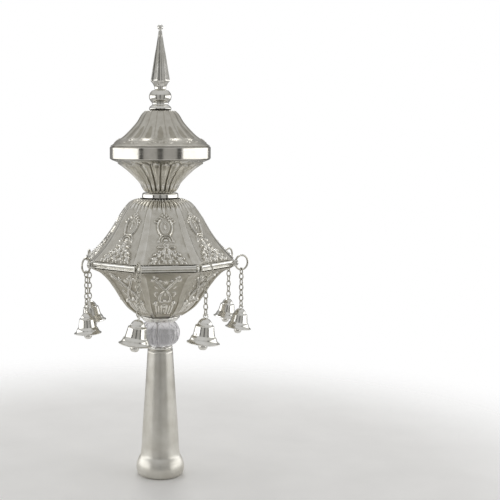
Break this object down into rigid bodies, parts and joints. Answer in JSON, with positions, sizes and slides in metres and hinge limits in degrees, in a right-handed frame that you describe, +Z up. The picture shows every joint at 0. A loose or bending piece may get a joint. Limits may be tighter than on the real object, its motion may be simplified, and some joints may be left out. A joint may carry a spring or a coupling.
{
  "type": "torah finial",
  "caption": "Silver torah finial with a spire, fluted crown, panelled body hung with small bells, cut crystal ball and hollow handle",
  "frame": {"origin": "middle of the underside of the handle's foot, where the finial stands", "axes": "+Z up along the axis of the handle and spire; -Y is square to one of the eight body panels"},
  "size_m": [0.147, 0.1408, 0.38],
  "materials": {
    "polished_silver": "polished silver, lightly toned",
    "chased_silver": "chased silver, darker in the recesses",
    "satin_silver": "satin silver, worn smooth by hands",
    "crystal": "clear cut crystal, polished"
  },
  "bodies": {
    "root": {"handle": "satin_silver", "handle_collar": "polished_silver", "crystal_ball": "crystal", "lower_collar": "polished_silver", "body_bowl": "chased_silver", "body_rail": "polished_silver", "body_dome": "chased_silver", "neck_collar": "polished_silver", "crown_bowl": "chased_silver", "crown_band": "satin_silver", "crown_roof": "polished_silver", "spire_ball": "polished_silver", "spire": "polished_silver", "hanging_ring_1": "polished_silver", "chain_1": "polished_silver", "bell_1": "polished_silver", "clapper_1": "polished_silver", "hanging_ring_2": "polished_silver", "chain_2": "polished_silver", "bell_2": "polished_silver", "clapper_2": "polished_silver", "hanging_ring_3": "polished_silver", "chain_3": "polished_silver", "bell_3": "polished_silver", "clapper_3": "polished_silver", "hanging_ring_4": "polished_silver", "chain_4": "polished_silver", "bell_4": "polished_silver", "clapper_4": "polished_silver", "hanging_ring_5": "polished_silver", "chain_5": "polished_silver", "bell_5": "polished_silver", "clapper_5": "polished_silver", "hanging_ring_6": "polished_silver", "chain_6": "polished_silver", "bell_6": "polished_silver", "clapper_6": "polished_silver"}
  },
  "joints": []
}
